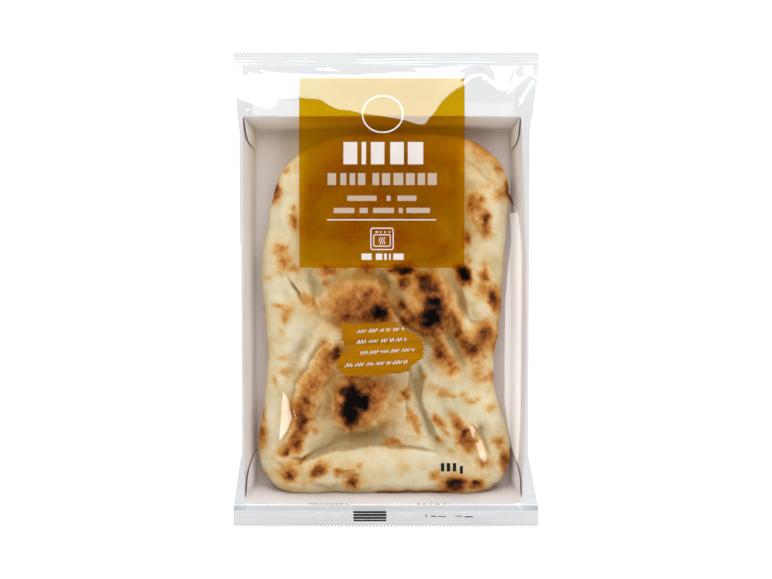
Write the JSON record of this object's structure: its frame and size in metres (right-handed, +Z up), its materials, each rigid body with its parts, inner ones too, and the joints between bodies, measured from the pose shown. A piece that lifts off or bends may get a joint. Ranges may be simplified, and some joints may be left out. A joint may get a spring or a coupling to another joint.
{
  "type": "pinsa",
  "caption": "Oblong pinsa flatbread with charred blisters, lying in a shallow white card tray and sealed in a clear film bag with a gold printed panel and flat end seals.",
  "frame": {"origin": "middle of the pack's footprint, on the surface that it lies on", "axes": "+Y along the pack's length, towards the end with the printed panel; +X across it; +Z up, out of the shown side"},
  "size_m": [0.2328, 0.3648, 0.0288],
  "materials": {
    "crust": "matte",
    "card": "matte",
    "clear_film": "gloss",
    "gold_print": "satin",
    "ochre_print": "satin"
  },
  "bodies": {
    "root": {"pinsa": "crust", "tray": "card", "bag": "clear_film", "print_panel": "gold_print", "print_patch": "ochre_print"}
  },
  "joints": []
}
